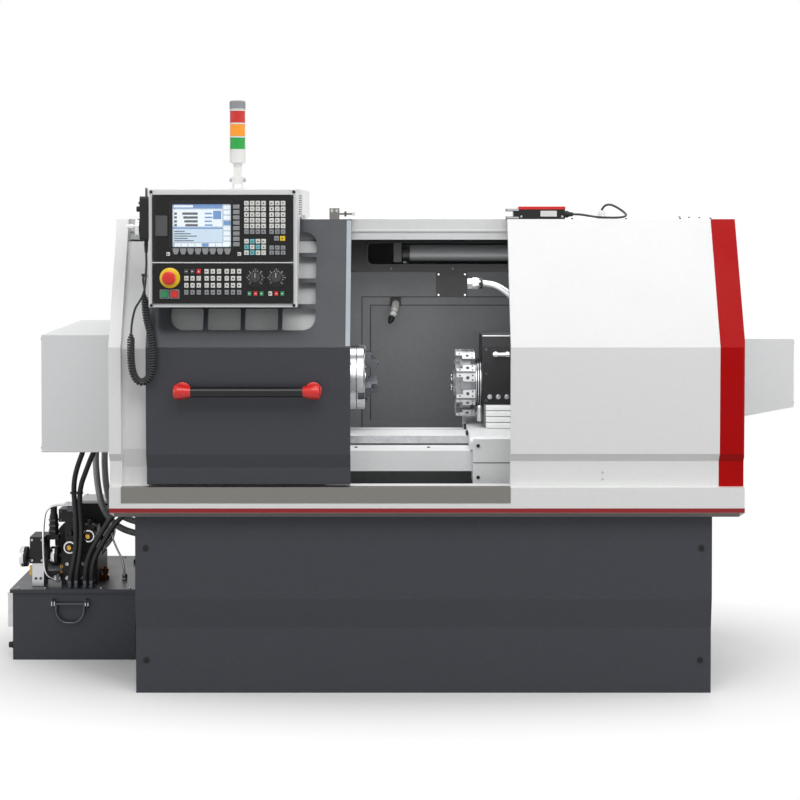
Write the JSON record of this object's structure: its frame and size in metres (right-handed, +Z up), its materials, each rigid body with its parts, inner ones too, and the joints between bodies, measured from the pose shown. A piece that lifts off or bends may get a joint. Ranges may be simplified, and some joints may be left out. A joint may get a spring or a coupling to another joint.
{
  "type": "cnc turning lathe",
  "caption": "Floor-standing CNC lathe: enclosed slant-front housing, sliding door, chuck, indexing turret, tailstock, folding signal tower, hydraulic unit.",
  "frame": {"origin": "on the floor, at the centre of the base stand's footprint along X", "axes": "+X along the machine from the chuck to the tailstock, +Y from the operator to the rear, +Z up"},
  "size_m": [2.539, 1.294, 1.833],
  "materials": {
    "charcoal_paint": "satin powder coat",
    "white_paint": "satin powder coat",
    "red_paint": "gloss paint",
    "light_grey_paint": "satin paint",
    "interior_paint": "satin paint",
    "stainless": "brushed",
    "machined_steel": "ground",
    "bed_iron": "painted with ground ways",
    "black_cast": "black enamel",
    "chrome_bright": "polished",
    "black_plastic": "fine texture",
    "panel_plastic": "satin membrane",
    "red_plastic": "gloss",
    "green_plastic": "gloss",
    "window_glass": "clear polycarbonate",
    "lamp_lens": "frosted",
    "tower_lens": "translucent",
    "rubber": "matt",
    "cord_grey": "matt"
  },
  "bodies": {
    "machine": {"base_stand": "charcoal_paint", "chip_tray": "white_paint", "left_end_wall": "white_paint", "headstock_cover": "light_grey_paint", "right_front_cover": "white_paint", "red_corner_panel": "red_paint", "roof_panel": "light_grey_paint", "rear_wall": "interior_paint", "right_end_wall": "white_paint", "end_covers": "light_grey_paint", "lamp_shelf": "interior_paint", "work_lamp": "lamp_lens", "lamp_conduit": "cord_grey", "bed": "bed_iron", "screw_guard": "light_grey_paint", "headstock": "bed_iron", "main_motor": "black_cast", "drive_belt": "rubber", "z_servo_motor": "black_cast", "electrical_cabinet": "light_grey_paint", "interlock_switch": "black_plastic", "interlock_cable": "cord_grey", "control_box": "light_grey_paint", "display_panel": "panel_plastic", "operator_panel": "panel_plastic", "pendant_body": "black_plastic", "pendant_cord": "cord_grey", "tank": "charcoal_paint", "pump_motor": "black_cast", "valve_block": "black_cast", "service_hoses": "rubber"},
    "door": {"door_panel": "charcoal_paint", "door_window": "window_glass", "door_handle": "black_plastic", "door_lock_key": "stainless"},
    "spindle": {"spindle": "machined_steel", "chuck_body": "machined_steel"},
    "jaw_1": {"chuck_jaw_1": "machined_steel"},
    "jaw_2": {"chuck_jaw_2": "machined_steel"},
    "jaw_3": {"chuck_jaw_3": "machined_steel"},
    "motor_pulley": {"motor_pulley": "machined_steel"},
    "carriage": {"saddle": "light_grey_paint", "apron": "light_grey_paint"},
    "cross": {"cross_slide": "bed_iron", "turret_body": "black_cast"},
    "turret": {"turret_disc": "machined_steel"},
    "x_screw": {"x_screw": "machined_steel"},
    "z_screw": {"z_screw": "machined_steel"},
    "tailstock": {"tailstock": "bed_iron"},
    "quill": {"tailstock_quill": "machined_steel"},
    "estop": {"estop_button": "red_plastic"},
    "start": {"start_button": "green_plastic"},
    "stop": {"stop_button": "red_plastic"},
    "feed_knob": {"feed_knob": "black_plastic"},
    "spindle_knob": {"spindle_knob": "black_plastic"},
    "usb_cover": {"usb_cover": "black_plastic"},
    "pendant_wheel": {"pendant_wheel": "chrome_bright"},
    "tower": {"tower_column": "light_grey_paint", "tower_lenses": "tower_lens"},
    "tank_handle": {"tank_handle": "chrome_bright"}
  },
  "joints": [
    {"name": "door_slide", "type": "slide", "parent": "machine", "child": "door", "axis": [1, 0, 0], "range_m": [-0.07, 0.488]},
    {"name": "spindle_turn", "type": "hinge", "parent": "machine", "child": "spindle", "pos_m": [0, -0.1, 0.938], "axis": [1, 0, 0], "continuous": true},
    {"name": "jaw_1_slide", "type": "slide", "parent": "spindle", "child": "jaw_1", "axis": [0, 0, 1], "range_m": [-0.0037, 0]},
    {"name": "jaw_2_slide", "type": "slide", "parent": "spindle", "child": "jaw_2", "axis": [0, -0.866, -0.5], "range_m": [-0.0037, 0]},
    {"name": "jaw_3_slide", "type": "slide", "parent": "spindle", "child": "jaw_3", "axis": [0, 0.866, -0.5], "range_m": [-0.0037, 0]},
    {"name": "motor_pulley_turn", "type": "hinge", "parent": "machine", "child": "motor_pulley", "pos_m": [0, 0.26, 0.89], "axis": [1, 0, 0], "continuous": true},
    {"name": "carriage_slide", "type": "slide", "parent": "machine", "child": "carriage", "axis": [1, 0, 0], "range_m": [-0.24, 0.14]},
    {"name": "cross_slide", "type": "slide", "parent": "carriage", "child": "cross", "axis": [0, 1, 0], "range_m": [-0.03, 0.13]},
    {"name": "turret_index", "type": "hinge", "parent": "cross", "child": "turret", "pos_m": [0, 0, 0.91], "axis": [1, 0, 0], "continuous": true},
    {"name": "z_screw_turn", "type": "hinge", "parent": "machine", "child": "z_screw", "pos_m": [0, -0.262, 0.697], "axis": [1, 0, 0], "continuous": true},
    {"name": "x_screw_turn", "type": "hinge", "parent": "carriage", "child": "x_screw", "pos_m": [0.3, 0, 0.8], "axis": [0, 1, 0], "continuous": true},
    {"name": "tailstock_slide", "type": "slide", "parent": "machine", "child": "tailstock", "axis": [1, 0, 0], "range_m": [-0.1, 0.06]},
    {"name": "quill_slide", "type": "slide", "parent": "tailstock", "child": "quill", "axis": [1, 0, 0], "range_m": [-0.1, 0]},
    {"name": "estop_press", "type": "slide", "parent": "machine", "child": "estop", "axis": [0, 1, 0], "range_m": [0, 0.004]},
    {"name": "start_press", "type": "slide", "parent": "machine", "child": "start", "axis": [0, 1, 0], "range_m": [0, 0.0025], "stiffness_N_per_m": 1500, "springref_m": -0.001},
    {"name": "stop_press", "type": "slide", "parent": "machine", "child": "stop", "axis": [0, 1, 0], "range_m": [0, 0.0025], "stiffness_N_per_m": 1500, "springref_m": -0.001},
    {"name": "feed_knob_turn", "type": "hinge", "parent": "machine", "child": "feed_knob", "pos_m": [-0.5038, -0.603, 1.2876], "axis": [0, 1, 0], "range_deg": [-135, 135]},
    {"name": "spindle_knob_turn", "type": "hinge", "parent": "machine", "child": "spindle_knob", "pos_m": [-0.4418, -0.603, 1.2876], "axis": [0, 1, 0], "range_deg": [-135, 135]},
    {"name": "usb_cover_hinge", "type": "hinge", "parent": "machine", "child": "usb_cover", "pos_m": [-0.8, -0.6048, 1.4425], "axis": [0, 0, -1], "range_deg": [0, 100]},
    {"name": "pendant_wheel_turn", "type": "hinge", "parent": "machine", "child": "pendant_wheel", "pos_m": [-0.85, -0.562, 1.436], "axis": [1, 0, 0], "continuous": true},
    {"name": "tower_fold", "type": "hinge", "parent": "machine", "child": "tower", "pos_m": [-0.585, -0.3, 1.584], "axis": [-1, 0, 0], "range_deg": [0, 90]},
    {"name": "tank_handle_hinge", "type": "hinge", "parent": "machine", "child": "tank_handle", "pos_m": [0, -0.1, 0.188], "axis": [-1, 0, 0], "range_deg": [0, 90]}
  ],
  "couplings": [
    {"joint": "jaw_2_slide", "follows": "jaw_1_slide", "ratio": 1},
    {"joint": "jaw_3_slide", "follows": "jaw_1_slide", "ratio": 1},
    {"joint": "motor_pulley_turn", "follows": "spindle_turn", "ratio": 1.3333},
    {"joint": "z_screw_turn", "follows": "carriage_slide", "rad_per_m": 628.32},
    {"joint": "x_screw_turn", "follows": "cross_slide", "rad_per_m": 628.32}
  ]
}
